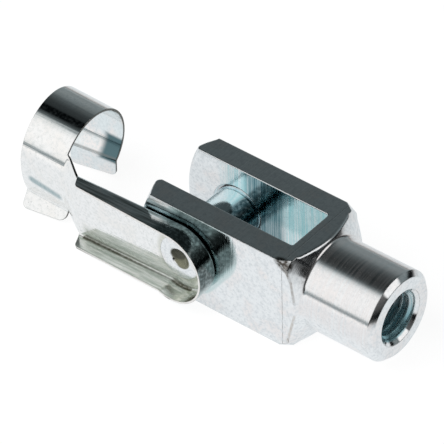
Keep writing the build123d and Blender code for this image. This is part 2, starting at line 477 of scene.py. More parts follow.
@dataclass(frozen=True)
class ZincFinish:
    """Bright zinc plate with a faint blue passivation."""

    name: str
    light: Point = (0.91, 0.925, 0.93)
    dark: Point = (0.755, 0.78, 0.795)
    warm: Point = (0.92, 0.885, 0.87)
    speck: Point = (0.42, 0.44, 0.43)
    roughness: float = 0.06
    unevenness: float = 0.07
    dullness: float = 0.5
    cloud_size: float = 0.6
    drift_size: float = 4.5
    speck_size: float = 0.28
    lines_across: Point = (1.0, 0.0, 0.0)
    line_spacing: float = 0.12
    line_height: float = 0.004
    grain_height: float = 0.004
    edge_width: float = 0.2
    edge: Point = (0.12, 0.12, 0.11)
    edge_amount: float = 0.8
    patches: tuple[Patch, ...] = ()

    def material(self) -> Material:
        """Mixes the finish.

        Returns:
            The material.
        """
        material, wiring = blank_material(self.name)
        plate = wiring.group(Groups.mottle(), {
            "Drift Size": self.drift_size, "Cloud Size": self.cloud_size, "Speck Size": self.speck_size})
        cloud = plate["Cloud"]
        lines = wiring.group(Groups.tool_lines(), {
            "Across": self.lines_across, "Spacing": self.line_spacing})["Lines"]
        edges = wiring.group(Groups.rubbed_edges(), {"Width": self.edge_width})

        colour = wiring.blend(plate["Drift"], (*self.light, 1), (*self.warm, 1))
        colour = wiring.blend(cloud, colour, (*self.dark, 1))
        colour = wiring.blend(plate["Specks"], colour, (*self.speck, 1))
        rough = wiring.math("MULTIPLY_ADD", cloud, self.unevenness, self.roughness)
        metal: Value = 1.0
        # the patches blend their colours in, mostly painted shade and reflection, and dull the plate where
        # they say so
        for patch in self.patches:
            mask = patch.mask(wiring, lines, cloud)
            colour = wiring.blend(mask, colour, (*patch.colour, 1))
            if patch.dull > 0:
                share = wiring.math("MULTIPLY", mask, patch.dull)
                metal = wiring.math("MULTIPLY", metal, wiring.math("SUBTRACT", 1.0, share))
                rough = wiring.math("ADD", rough, wiring.math("MULTIPLY", share, self.dullness))
        unclouded = wiring.math("SUBTRACT", self.edge_amount, cloud, clamp=True)
        colour = wiring.blend(wiring.math("MULTIPLY", edges["Edge"], unclouded), colour, (*self.edge, 1))

        grain = wiring.math("MULTIPLY", plate["Height"], self.grain_height)
        height = wiring.math("MULTIPLY_ADD", lines, self.line_height, grain)
        bump = wiring.add("Bump", {"Height": height, "Distance": METRES, "Normal": edges["Normal"]})
        shader = wiring.add("BsdfPrincipled", {
            "Base Color": colour, "Metallic": metal, "Roughness": rough, "Normal": bump.outputs[0]})
        wiring.add("OutputMaterial", {0: shader.outputs[0]})
        return material


FORK_FINISHES = (
    ZincFinish("fork_zinc", line_spacing=0.3, line_height=0.006, edge_width=0.28, edge_amount=1.1, patches=(
        # painted shade: the slot's walls darker and bluer, and darker still beside the pin on the far one
        BoxPatch((-1, -5.3, -9.8), (21.2, 5.3, 9.8), (4, 0.1, 0.15), colour=(0.48, 0.74, 0.76),
                 streaky=0.9),
        BoxPatch((3.4, 5.0, -9.0), (9.6, 5.6, 9.7), (2.2, 0.1, 0.25), colour=(0.09, 0.18, 0.21),
                 streaky=0.5),
        # painted shade in the tapped bore, darker towards the slot, where the plate is also duller
        BoxPatch((21.5, -5.1, -5.1), (40.2, 5.1, 5.1), (0.4, 0.1, 0.1), colour=(0.28, 0.50, 0.55), dull=0.3),
        BoxPatch((21.5, -5.1, -5.1), (34.0, 5.1, 5.1), (5.0, 0.1, 0.1), colour=(0.09, 0.22, 0.27), dull=0.6),
        # painted shade of the clip's cup on the near tine: its line lies far out, so that it reaches the
        # tine's face and no more
        LinePatch((0, -100, 0), (3.8, -100, 5.2), 90.355, 0.055, colour=(0.62, 0.73, 0.73), cloudy=0.3),
        # turned lines on top of the neck
        BoxPatch((25.5, -9.2, 0.5), (39.9, 9.2, 9.2), (0.8, 0.8, 3.5), colour=(0.87, 0.84, 0.83),
                 streaky=0.9, dull=0.05),
        # painted shade and reflection on the near tine's face above the clip's web
        BoxPatch((-9.5, -10.3, 2), (5, -9.8, 8.7), (1.5, 0.1, 0.6), colour=(0.44, 0.53, 0.55), streaky=0.3),
        # a dark line along the shoulder's edge, darkest at the bar's top corner and paler downwards
        LinePatch((21.7, -10, 10), (23.1, -9.6, 9.0), 0.7, 0.8, colour=(0.08, 0.07, 0.06), cloudy=0.7),
        LinePatch((22.9, -10, 8.9), (24.26, -10, 6.0), 0.15, 0.3, colour=(0.30, 0.28, 0.26),
                  streaky=0.4, cloudy=0.7),
        LinePatch((24.26, -10, 6.0), (25.0, -10, 1.5), 0.12, 0.3, colour=(0.45, 0.43, 0.41),
                  streaky=0.4, cloudy=0.8),
        LinePatch((25.0, -10, -1.5), (23.3, -10, -8.4), 0.1, 0.3, colour=(0.60, 0.56, 0.52),
                  streaky=0.4, cloudy=0.8),
    )),
)
PIN_FINISHES = (
    ZincFinish("pin_zinc", patches=(
        # painted reflection of the slot's walls on the shank in the slot, and painted shade on its darker
        # side
        BoxPatch((-6, -5.2, -6), (6, 5.2, 6), (0.1, 0.5, 0.1), colour=(0.70, 0.84, 0.88), cloudy=0.3),
        BoxPatch((2.5, -5.2, -5.2), (5.3, 5.0, 4.6), (0.7, 0.3, 0.9), colour=(0.12, 0.18, 0.20), cloudy=0.6),
        # painted shade on the rivet head's rim and in its dimple, darkest on one side, with duller plate in
        # the dimple
        BoxPatch((-5, -11.2, -5), (5, -10.6, 5), (0.05, 0.08, 0.05), colour=(0.30, 0.29, 0.24)),
        LinePatch((0.4, -11.6, -0.3), (0.4, -10.4, -0.3), 1.7, 0.3, colour=(0.20, 0.20, 0.14), dull=0.4),
        LinePatch((-0.6, -11.4, 0.4), (-0.6, -10.2, 0.4), 1.2, 0.5, colour=(0.07, 0.07, 0.05), dull=0.5),
    )),
)
CLIP_FINISHES = (
    ZincFinish(
        "clip_zinc", light=(0.97, 0.965, 0.955), dark=(0.84, 0.85, 0.84), warm=(0.96, 0.94, 0.915),
        lines_across=(0.0, 0.6, 1.0), line_spacing=0.4, edge=(0.16, 0.14, 0.11), patches=(
            # painted shade and reflection on the lower flange's inside, the web beside it and the cup's end
            BoxPatch((-26, -15.6, -9), (1, -11.2, -6.0), (1, 0.4, 0.25), colour=(0.36, 0.42, 0.37),
                     streaky=0.55, dull=0.25),
            BoxPatch((-22, -10.8, -9), (3, -10.6, -6.3), (2, 0.2, 2.4), colour=(0.46, 0.50, 0.45),
                     streaky=0.3, cloudy=0.6, dull=0.2),
            BoxPatch((2, -15.6, -8), (8, -11.1, 2), (2, 0.3, 2), colour=(0.46, 0.50, 0.42), streaky=0.5),
            # painted shade: a dark line along the lower fold, and grey round the rivet head
            LinePatch((-23, -10.95, -7.65), (2, -10.95, -6.9), 0.2, 0.35, colour=(0.10, 0.10, 0.07),
                      cloudy=0.3),
            LinePatch((0, -10.7, 0), (0.1, -10.7, 0), 4.9, 1.2, colour=(0.70, 0.70, 0.63), cloudy=0.4),
            # painted shade on the ring's near wall above the tab, and a painted dark reflection along its
            # crown
            LinePatch((-36.8, -9.3, -2.1), (-30.8, -9.3, -3.1), 0.3, 1.1, colour=(0.36, 0.46, 0.48),
                      cloudy=0.3),
            LinePatch((-39.9, -3.0, 10.5), (-29.7, -2.8, 10.3), 0.5, 0.4, colour=(0.09, 0.10, 0.11),
                      cloudy=0.7),
        )),
    # painted shade: a darker, bluer copy of the clip's plate for the sheet's other side
    ZincFinish(
        "clip_back_shaded_zinc", light=(0.85, 0.90, 0.91), dark=(0.75, 0.80, 0.81), lines_across=(0.0, 1.0, 1.0),
        line_spacing=0.4, edge=(0.16, 0.14, 0.11), patches=(
            # painted reflection and shade on the upper flange's outside, and on the cup's outside, darkest on
            # its upper half
            BoxPatch((-25, -15.6, 6), (-1, -10.9, 9.5), (1, 0.1, 0.1), colour=(0.22, 0.24, 0.23),
                     streaky=0.9),
            BoxPatch((-2, -15.6, -9), (9, -10.2, 9), (3, 0.1, 0.1), colour=(0.50, 0.60, 0.60)),
            BoxPatch((-2, -15.6, -1), (9, -10.2, 9), (3, 0.1, 2.0), colour=(0.08, 0.10, 0.10),
                     streaky=0.1, cloudy=0.5),
            # painted shade inside the far wall: a dark spot and a dark line along its bend
            BoxPatch((-33.0, 6.5, -5), (-29, 10, -1.3), (1.8, 0.5, 0.8), colour=(0.10, 0.17, 0.19)),
            LinePatch((-39.8, 6.3, -5.2), (-29.7, 7.1, -4.6), 0.15, 0.35, colour=(0.18, 0.20, 0.20),
                      cloudy=0.3),
        )),
    ZincFinish(
        "clip_cut_zinc", light=(0.95, 0.93, 0.90), dark=(0.82, 0.79, 0.74), roughness=0.2, edge_width=0.12,
        edge=(0.20, 0.17, 0.13), edge_amount=1.2, patches=(
            # painted shade on the ring's near end with the arm's upper edge, and on the tab's edges; a dark
            # line along the lower flange's rim
            BoxPatch((-31.2, -11.5, -10), (-29, 11.5, 12), (0.3, 1, 1), colour=(0.12, 0.12, 0.11)),
            BoxPatch((-31.2, -11.5, 2), (-24.3, 11.5, 12), (0.3, 1, 1), colour=(0.12, 0.12, 0.11)),
            BoxPatch((-41, -14, -10), (-29, -8.5, -4.4), (1, 0.5, 0.5), colour=(0.30, 0.29, 0.26)),
            LinePatch((-22.6, -13.7, -8.05), (0, -14.6, -7.6), 0.18, 0.12, colour=(0.08, 0.07, 0.05)),
        )),
)


class Bench:
    """The workbench: every step that shapes a mesh, each made of modelling operators."""

    @staticmethod
    def take(pieces: list[Object]) -> None:
        """Selects only these pieces and makes the first of them active.

        Args:
            pieces: What to select.
        """
        bpy.ops.object.select_all(action="DESELECT")
        for piece in pieces:
            piece.select_set(True)
        bpy.context.view_layer.objects.active = pieces[0]

    @staticmethod
    def open(piece: Object) -> None:
        """Opens a piece in edit mode with all of it selected.

        Args:
            piece: What to open.
        """
        Bench.take([piece])
        bpy.ops.object.mode_set(mode="EDIT")
        bpy.ops.mesh.select_mode(type=Kind.VERT.value)
        bpy.ops.mesh.select_all(action="SELECT")

    @staticmethod
    def close() -> None:
        """Leaves edit mode."""
        bpy.ops.object.mode_set(mode="OBJECT")

    @staticmethod
    def named(name: str) -> Object:
        """Names the piece just added and applies its place.

        Args:
            name: Name of the piece and of its mesh.

        Returns:
            The piece.
        """
        piece = bpy.context.active_object
        piece.name = piece.data.name = name
        bpy.ops.object.transform_apply(location=True, rotation=True, scale=True)
        return piece

    @staticmethod
    def lie(element: BMVert | BMEdge | BMFace) -> tuple[Vector, Vector]:
        """Tells how a vertex, edge or face lies.

        Args:
            element: What to look at.

        Returns:
            Its middle, and its normal or, for an edge, its direction.
        """
        if isinstance(element, BMVert):
            return element.co, element.normal
        if isinstance(element, BMFace):
            return element.calc_center_median(), element.normal
        first, second = (v.co for v in element.verts)
        return (first + second) / 2, (second - first).normalized()

    @staticmethod
    def pick(kind: Kind, test: Test, on_rim: bool = False) -> None:
        """Selects what passes a test in the piece open in edit mode.

        Args:
            kind: What to select.
            test: Gets the middle and the normal of each; an edge's normal is its direction.
            on_rim: Whether only edges on an open rim count.
        """
        bpy.ops.mesh.select_mode(type=kind.value)
        bpy.ops.mesh.select_all(action="DESELECT")
        mesh = bmesh.from_edit_mesh(bpy.context.edit_object.data)
        elements = {Kind.VERT: mesh.verts, Kind.EDGE: mesh.edges, Kind.FACE: mesh.faces}[kind]
        for element in elements:
            if (not on_rim or element.is_boundary) and test(*Bench.lie(element)):
                element.select_set(True)
        mesh.select_flush_mode()
        bmesh.update_edit_mesh(bpy.context.edit_object.data)

    @staticmethod
    def chain(name: str, points: Iterable[Point]) -> Object:
        """Draws a chain of edges by extruding one vertex from point to point.

        Args:
            name: Name of the new piece.
            points: Places that the chain goes through.

        Returns:
            The new piece, with edges only.
        """
        places = [Vector(p) for p in points]
        bpy.ops.object.select_all(action="DESELECT")
        bpy.ops.mesh.primitive_plane_add(size=1, location=places[0])
        piece = Bench.named(name)
        Bench.open(piece)
        bpy.ops.mesh.merge(type="CENTER")
        for here, there in zip(places, places[1:]):
            bpy.ops.mesh.extrude_vertices_move(TRANSFORM_OT_translate={"value": there - here})
        Bench.close()
        return piece

    @staticmethod
    def block(name: str, low: Point, high: Point) -> Object:
        """Adds a block between two corners.

        Args:
            name: Name of the new piece.
            low: Its lowest corner.
            high: Its highest corner.

        Returns:
            The new piece.
        """
        first, second = Vector(low), Vector(high)
        bpy.ops.object.select_all(action="DESELECT")
        bpy.ops.mesh.primitive_cube_add(size=1, location=(first + second) / 2, scale=second - first)
        return Bench.named(name)

    @staticmethod
    def turn(piece: Object, axis: Axis, steps: int) -> Object:
        """Spins a profile once round an axis into a closed solid.

        Args:
            piece: Chain of edges, its ends on the axis.
            axis: The axis, through the origin.
            steps: Number of steps round.

        Returns:
            The same piece.
        """
        Bench.open(piece)
        bpy.ops.mesh.spin(steps=steps, angle=FULL_TURN, center=(0, 0, 0), axis=axis.value)
        Bench.seal()
        return piece

    @staticmethod
    def seal() -> None:
        """Merges doubles, turns the faces outwards and leaves edit mode."""
        bpy.ops.mesh.select_all(action="SELECT")
        bpy.ops.mesh.remove_doubles(threshold=MERGE)
        bpy.ops.mesh.normals_make_consistent(inside=False)
        Bench.close()

    @staticmethod
    def modify(piece: Object, kind: str, **settings: object) -> None:
        """Adds one modifier with its settings and applies it.

        Args:
            piece: What to change.
            kind: Type of the modifier.
            settings: Properties of the modifier.
        """
        Bench.take([piece])
        modifier = piece.modifiers.new(kind.title(), kind)
        for key, value in settings.items():
            setattr(modifier, key, value)
        bpy.ops.object.modifier_apply(modifier=modifier.name)

    @staticmethod
    def carve(piece: Object, tool: Object, cut: Cut = Cut.TAKE_AWAY) -> None:
        """Cuts a piece with a tool solid, which is used up."""
        Bench.modify(piece, "BOOLEAN", object=tool, operation=cut.value, solver="EXACT")
        bpy.data.objects.remove(tool)

    @staticmethod
    def join(pieces: list[Object], name: str) -> Object:
        """Joins pieces into the first of them.

        Args:
            pieces: What to join.
            name: New name of the first piece.

        Returns:
            The first piece.
        """
        Bench.take(pieces)
        bpy.ops.object.join()
        pieces[0].name = pieces[0].data.name = name
        return pieces[0]

    @staticmethod
    def dress(piece: Object, finishes: Iterable[ZincFinish]) -> None:
        """Gives a piece its materials, one slot for each finish.

        Args:
            piece: What to dress.
            finishes: Its finishes in the order of the slots.
        """
        piece.data.materials.clear()
        for finish in finishes:
            piece.data.materials.append(finish.material())

    @staticmethod
    def finish(piece: Object, smooth: float) -> Object:
        """Brings a piece from working millimetres to metres and smooths its shading.

        Args:
            piece: The finished shape.
            smooth: Edges flatter than this, in degrees, shade smooth.

        Returns:
            The same piece.
        """
        Bench.open(piece)
        bpy.ops.transform.resize(value=(METRES, METRES, METRES), center_override=(0, 0, 0))
        Bench.close()
        bpy.ops.object.shade_smooth_by_angle(angle=math.radians(smooth))
        Bench.modify(piece, "WEIGHTED_NORMAL", mode="FACE_AREA", weight=100, keep_sharp=True)
        return piece


@dataclass
class Fork:
    """Square bar, turned at both ends, slotted, cross drilled and tapped, in millimetres and degrees."""

    bar: float = 20.0
    bar_edge: float = 0.2
    blank: float = 30.0
    dome_reach: float = 12.6
    dome_radius: float = 22.5
    dome_soft: float = 0.18
    slot: float = 10.4
    slot_depth: float = 21.0
    slot_corner: float = 0.5
    slot_edge: float = 0.12
    tine_round: float = 0.9
    tine_reach: float = 40.0
    hole: float = 10.12
    hole_break: float = 0.5
    neck: float = 17.8
    neck_end: float = 41.0
    neck_break: float = 1.0
    neck_round: float = 0.2
    neck_root: float = 0.8
    corner_start: float = 21.3
    shoulder_start: float = 23.5
    shoulder: float = 26.3
    shoulder_angle: float = 27.0
    shoulder_round: float = 0.25
    shoulder_soft: float = 0.4
    shoulder_spare: float = 2.4
    thread_crest: float = 8.5
    thread_root: float = 10.0
    pitch: float = 1.5
    thread_lead: float = 0.65
    mouth: float = 11.2
    mouth_angle: float = 45.0
    scribe: float = 22.3
    scribe_depth: float = 0.03
    steps: int = 176
    hole_steps: int = 128
    mouth_steps: int = 120
    thread_steps: int = 96
    dome_steps: int = 40
    tine_steps: int = 48
    tine_runs: int = 9
    smooth: float = 26.0
    finishes: tuple[ZincFinish, ...] = FORK_FINISHES

    def build(self) -> Object:
        """Makes the fork.

        Returns:
            The finished piece, in metres.
        """
        piece = self.turned()
        Bench.carve(piece, self.stock(), Cut.KEEP_COMMON)
        Bench.carve(piece, self.slot_tool())
        for side in Side:
            Bench.carve(piece, self.round_tool(side))
        Bench.carve(piece, self.drill())
        Bench.carve(piece, self.tap())
        Bench.carve(piece, self.mouth_tool())
        self.soften(piece, self.shoulder_soft, self.shoulder_spare, lambda place: place.x > self.scribe)
        self.soften(piece, self.dome_soft, 2 * self.bar_edge, lambda place: place.x < 0)
        Bench.dress(piece, self.finishes)
        return Bench.finish(piece, self.smooth)

    def turned(self) -> Object:
        """Turned outline of both ends, far wider than the bar between them.

        Returns:
            A closed solid about the X axis.
        """
        rim, corner = self.blank / 2, self.bar / math.sqrt(2)
        centre = self.dome_radius - self.dome_reach
        rise = math.degrees(math.asin(rim / self.dome_radius))
        dome = arc((centre, 0), self.dome_radius, 180, 180 - rise, self.dome_steps)
        slope = math.tan(math.radians(self.shoulder_angle))
        root = self.shoulder_start + (self.shoulder - self.neck) / 2 * slope
        lead = (self.shoulder_start - self.corner_start) / (corner - self.shoulder / 2)
        back = self.corner_start - (rim - corner) * lead
        profile = rounded([
            Corner(dome[-1][0], rim),
            Corner(back, rim),
            Corner(self.shoulder_start, self.shoulder / 2, self.shoulder_round),
            Corner(root, self.neck / 2, self.neck_root),
            Corner(self.neck_end - self.neck_break, self.neck / 2, self.neck_round),
            Corner(self.neck_end, self.neck / 2 - self.neck_break, self.neck_round),
            Corner(self.neck_end, 0),
        ])
        line = [(x, 0, r) for x, r in dome + profile[1:]]
        return Bench.turn(Bench.chain("clevis_fork_zinc", line), Axis.X, self.steps)

    def stock(self) -> Object:
        """Square bar with its four long edges broken and a fine scribed line round it.

        Returns:
            A closed solid, longer than the fork at both ends.
        """
        half = self.bar / 2
        piece = Bench.block("stock", (-self.bar, -half, -half), (3 * self.bar, half, half))
        Bench.open(piece)
        Bench.pick(Kind.EDGE, lambda middle, along: abs(along.x) > ALONG)
        bpy.ops.mesh.bevel(offset=self.bar_edge, segments=2, affect="EDGES")
        width = 2 * self.scribe_depth
        for place in (self.scribe - width, self.scribe, self.scribe + width):
            bpy.ops.mesh.select_all(action="SELECT")
            bpy.ops.mesh.bisect(plane_co=(place, 0, 0), plane_no=Axis.X.value)
        Bench.pick(Kind.VERT, lambda place, normal: abs(place.x - self.scribe) < width / 2)
        shrink = 1 - self.scribe_depth / half
        bpy.ops.transform.resize(value=(1, shrink, shrink), center_override=(self.scribe, 0, 0))
        Bench.seal()
        return piece

    def soften(self, piece: Object, offset: float, spare: float,
               region: Callable[[Vector], bool]) -> None:
        """Rounds the curved edges where a turned end meets the bar's flat faces.

        Args:
            piece: The cut fork.
            offset: Width of the rounding on each side of the edge.
            spare: Length left sharp beside the bar's long edges.
            region: Tells which end an edge's middle belongs to.
        """
        half = self.bar / 2

        def on_face(place: Vector) -> bool:
            """Tells a place on one of the bar's flat faces, clear of its long edges."""
            out, side = sorted((abs(place.y), abs(place.z)), reverse=True)
            return abs(out - half) < MERGE and side < half - spare

        Bench.open(piece)
        Bench.pick(Kind.EDGE, lambda middle, along: region(middle) and on_face(middle)
                   and abs(along.x) < ALONG)
        bpy.ops.mesh.bevel(offset=offset, segments=4, affect="EDGES", clamp_overlap=False)
        Bench.seal()

    def slot_tool(self) -> Object:
        """Cutter for the slot, rounded at its bottom corners and flared at both mouths.

        Returns:
            A closed solid.
        """
        half, reach = self.slot / 2, self.bar
        depth = self.bar / 2 - self.slot_edge
        piece = Bench.block("slot_tool", (-reach, -half, -depth), (self.slot_depth, half, depth))
        Bench.open(piece)
        Bench.pick(Kind.EDGE, lambda middle, along: abs(along.z) > ALONG and middle.x > 0)
        bpy.ops.mesh.bevel(offset=self.slot_corner, segments=5, affect="EDGES")
        flare = 2 * self.slot_edge
        middle = (self.slot_depth - reach) / 2
        length = (self.slot_depth + reach) / 2
        for end in (1, -1):
            Bench.pick(Kind.FACE, lambda place, normal, end=end: normal.z * end > ALONG)
            bpy.ops.mesh.extrude_region_move(TRANSFORM_OT_translate={"value": (0, 0, end * flare)})
            bpy.ops.transform.resize(
                value=(1 + flare / length, 1 + flare / half, 1), center_override=(middle, 0, end * depth))
        Bench.seal()
        return piece

    def round_tool(self, side: Side) -> Object:
        """Form cutter that rounds one tine's inner edge along its domed end.

        Args:
            side: Which tine.

        Returns:
            A closed bow about an axis through the dome's centre.
        """
        wall, spare, reach = self.slot / 2, 0.4, math.radians(self.tine_reach)
        ball = self.dome_radius - self.tine_round
        height = wall + self.tine_round
        out = math.sqrt(ball**2 - height**2)
        lean = math.degrees(math.atan2(height, out))
        curve = arc((out, height), self.tine_round, 270, 360 + lean, self.tine_runs)
        top = curve[-1][0] + spare
        ends = [(top, curve[-1][1] + spare), (top, wall - spare), (out, wall - spare)]
        centre = self.dome_radius - self.dome_reach
        line = [(centre - r * math.cos(reach), side.value * y, r * math.sin(reach)) for r, y in curve + ends]
        piece = Bench.chain("round_tool", line)
        Bench.open(piece)
        bpy.ops.mesh.edge_face_add()
        bpy.ops.mesh.spin(
            steps=self.tine_steps, angle=2 * reach, center=(centre, 0, 0), axis=Axis.Y.value)
        Bench.seal()
        return piece

    def drill(self) -> Object:
        """Drill for the cross hole, with a countersink at each of the four mouths.

        Returns:
            A closed solid about the Y axis.
        """
        radius, sink = self.hole / 2, self.hole_break
        wall, face, spare = self.slot / 2, self.bar / 2, 1.0
        half = [
            (wall - spare, radius + sink + spare), (wall + sink, radius),
            (face - sink, radius), (face + spare, radius + sink + spare), (face + spare, 0),
        ]
        line = [(r, -y, 0) for y, r in reversed(half)] + [(r, y, 0) for y, r in half]
        return Bench.turn(Bench.chain("drill", line), Axis.Y, self.hole_steps)

    def tap(self) -> Object:
        """Tap for the bore: one thread profile screwed round the X axis and closed at both ends.

        Returns:
            A closed solid with a helical surface.
        """
        crest, root = self.thread_crest / 2, self.thread_root / 2
        flat, bottom = self.pitch / 4, self.pitch / 8
        flank = (self.pitch - flat - bottom) / 2
        ridge = ((0, crest), (flat, crest), (flat + flank, root), (flat + flank + bottom, root))
        start = self.slot_depth - 3 * self.pitch + self.thread_lead
        turns = math.ceil((self.neck_end - start) / self.pitch) + 1
        line = [(start + i * self.pitch + x, 0, r) for i in range(turns) for x, r in ridge]
        line.append((start + turns * self.pitch, 0, crest))
        piece = Bench.chain("tap", line)
        Bench.modify(
            piece, "SCREW", axis="X", angle=FULL_TURN, screw_offset=self.pitch, steps=self.thread_steps,
            render_steps=self.thread_steps, use_merge_vertices=True, merge_threshold=MERGE)
        Bench.open(piece)
        bpy.ops.mesh.remove_doubles(threshold=MERGE)
        first, last = start + 1.1 * self.pitch, start + (turns - 1.1) * self.pitch
        ends = ((start - self.pitch, lambda middle, along: middle.x < first),
                (start + (turns + 2) * self.pitch, lambda middle, along: middle.x > last))
        for tip, test in ends:
            Bench.pick(Kind.EDGE, test, on_rim=True)
            bpy.ops.mesh.extrude_region_move(TRANSFORM_OT_translate={"value": (0, 0, 0)})
            bpy.ops.transform.resize(value=(0, 0, 0), center_override=(tip, 0, 0))
        Bench.seal()
        return piece

    def mouth_tool(self) -> Object:
        """Countersink of the tapped bore's mouth.

        Returns:
            A closed cone about the X axis.
        """
        slope, spare = math.tan(math.radians(self.mouth_angle)), 0.5
        wide = self.mouth / 2 + spare * slope
        tip = self.neck_end - self.mouth / 2 / slope
        line = [(tip, 0, 0), (self.neck_end + spare, 0, wide), (self.neck_end + spare, 0, 0)]
        return Bench.turn(Bench.chain("mouth_tool", line), Axis.X, self.mouth_steps)


@dataclass
class Pin:
    """Turned pin, riveted to the clip by a dimpled head, in millimetres."""

    width: float = 10.0
    tip: float = 11.0
    tip_break: float = 0.8
    tip_round: float = 0.2
    seat_round: float = 0.1
    web_back: float = -10.25
    web_front: float = -10.70
    tenon: float = 6.0
    rivet: float = 9.0
    rivet_rise: float = 0.7
    rivet_edge: float = 0.22
    dimple: float = 4.0
    dimple_depth: float = 1.0
    dimple_edge: float = 0.12
    dimple_runs: int = 10
    steps: int = 144
    smooth: float = 30.0
    finishes: tuple[ZincFinish, ...] = PIN_FINISHES

    def build(self) -> Object:
        """Makes the pin.

        Returns:
            The finished piece, in metres.
        """
        head = self.web_front - self.rivet_rise
        ball = ((self.dimple / 2) ** 2 + self.dimple_depth**2) / (2 * self.dimple_depth)
        lean = math.degrees(math.asin(self.dimple / 2 / ball))
        hollow = arc((head - ball + self.dimple_depth, 0), ball, 0, lean, self.dimple_runs)
        profile = rounded([
            Corner(*hollow[-2]),
            Corner(head, self.dimple / 2, self.dimple_edge),
            Corner(head, self.rivet / 2, self.rivet_edge),
            Corner(self.web_front, self.rivet / 2),
            Corner(self.web_front, self.tenon / 2),
            Corner(self.web_back, self.tenon / 2),
            Corner(self.web_back, self.width / 2, self.seat_round),
            Corner(self.tip - self.tip_break, self.width / 2, self.tip_round),
            Corner(self.tip, self.width / 2 - self.tip_break, self.tip_round),
            Corner(self.tip, 0),
        ])
        line = [(r, y, 0) for y, r in hollow[:-1] + profile[1:]]
        piece = Bench.turn(Bench.chain("clip_pin_zinc", line), Axis.Y, self.steps)
        Bench.dress(piece, self.finishes)
        return Bench.finish(piece, self.smooth)


class FoldLine:
    """Section of a folded sheet, laid down run by run and bend by bend."""

    def __init__(self, place: Flat, heading: float) -> None:
        """Starts at a place, with a heading in degrees."""
        self.points: list[Vector] = [Vector(place)]
        self.heading = math.radians(heading)

    def run(self, length: float) -> Self:
        """Goes straight on.

        Args:
            length: How far.

        Returns:
            The same line.
        """
        way = Vector((math.cos(self.heading), math.sin(self.heading)))
        self.points.append(self.points[-1] + length * way)
        return self

    def bend(self, radius: float, angle: float, count: int) -> Self:
        """Goes on along an arc.

        Args:
            radius: Radius of the arc.
            angle: Turn in degrees, to the left when positive.
            count: Number of runs that the arc is divided into.

        Returns:
            The same line.
        """
        side = 1 if angle > 0 else -1
        start = self.points[-1]
        across = Vector((-math.sin(self.heading), math.cos(self.heading))) * side * radius
        for i in range(1, count + 1):
            turned = Matrix.Rotation(math.radians(angle) * i / count, 2) @ -across
            self.points.append(start + across + turned)
        self.heading += math.radians(angle)
        return self


